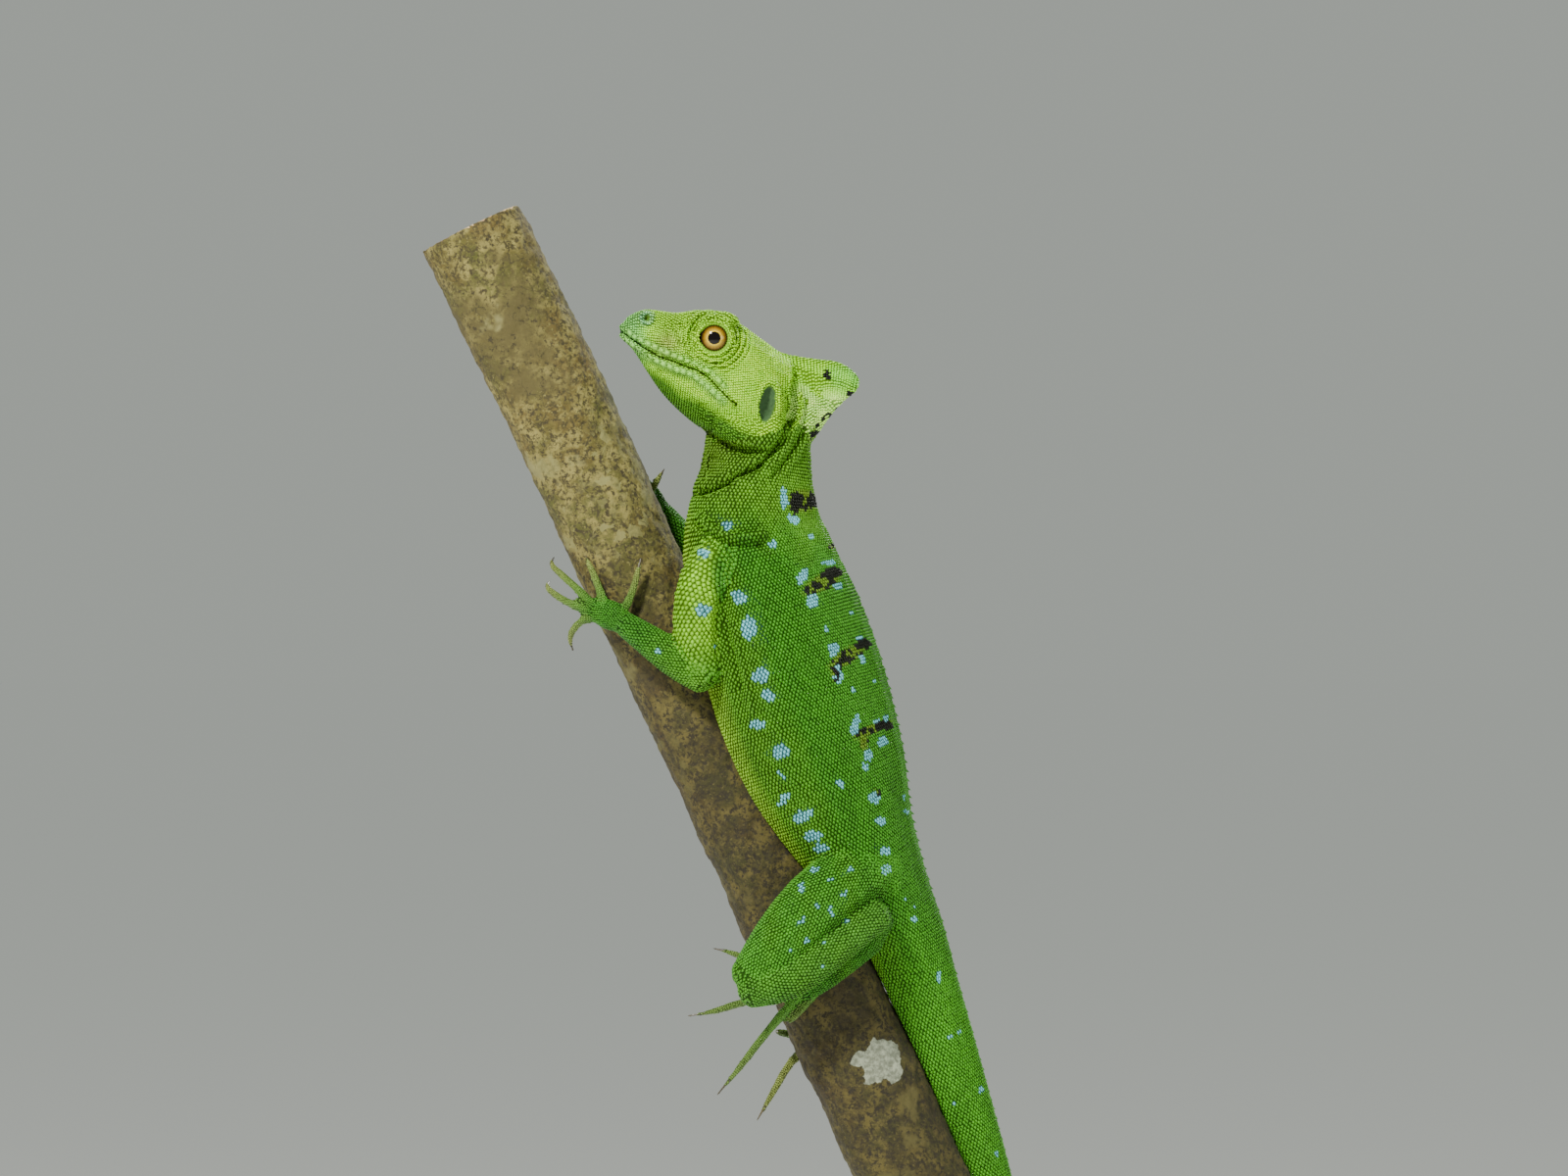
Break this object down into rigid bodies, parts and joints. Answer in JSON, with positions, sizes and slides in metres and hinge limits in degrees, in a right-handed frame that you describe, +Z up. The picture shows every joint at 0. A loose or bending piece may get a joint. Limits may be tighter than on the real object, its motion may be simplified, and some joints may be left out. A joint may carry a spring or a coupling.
{
  "type": "green basilisk",
  "caption": "Life-size lizard with a lobed head crest and long hanging tail, clinging to a cut length of branch on a plain display stand.",
  "frame": {"origin": "centre of the base's underside", "axes": "+Z up from the base to the head; +Y away from the viewer of the animal's left side; -X the way the head looks"},
  "size_m": [0.2013, 0.112, 0.5061],
  "materials": {
    "skin_head": "satin scaly skin, yellow-green",
    "skin": "satin scaly skin, vivid green",
    "skin_limb": "satin scaly skin, green",
    "eye": "wet gloss, amber",
    "bark": "rough bark",
    "stand_wood": "dark satin",
    "stand_metal": "satin"
  },
  "bodies": {
    "root": {"head": "skin_head", "crest": "skin_head", "neck": "skin", "torso": "skin", "tail_base": "skin", "tail_upper": "skin", "tail_lower": "skin", "tail_tip": "skin", "upper_arm_left": "skin_limb", "upper_arm_right": "skin_limb", "forearm_left": "skin_limb", "forearm_right": "skin_limb", "hand_left": "skin_limb", "hand_right": "skin_limb", "thigh_left": "skin_limb", "thigh_right": "skin_limb", "shank_left": "skin_limb", "shank_right": "skin_limb", "foot_left": "skin_limb", "foot_right": "skin_limb", "eye_left": "eye", "eye_right": "eye", "perch_branch": "bark", "stand_base": "stand_wood", "stand_rod": "stand_metal"}
  },
  "joints": []
}
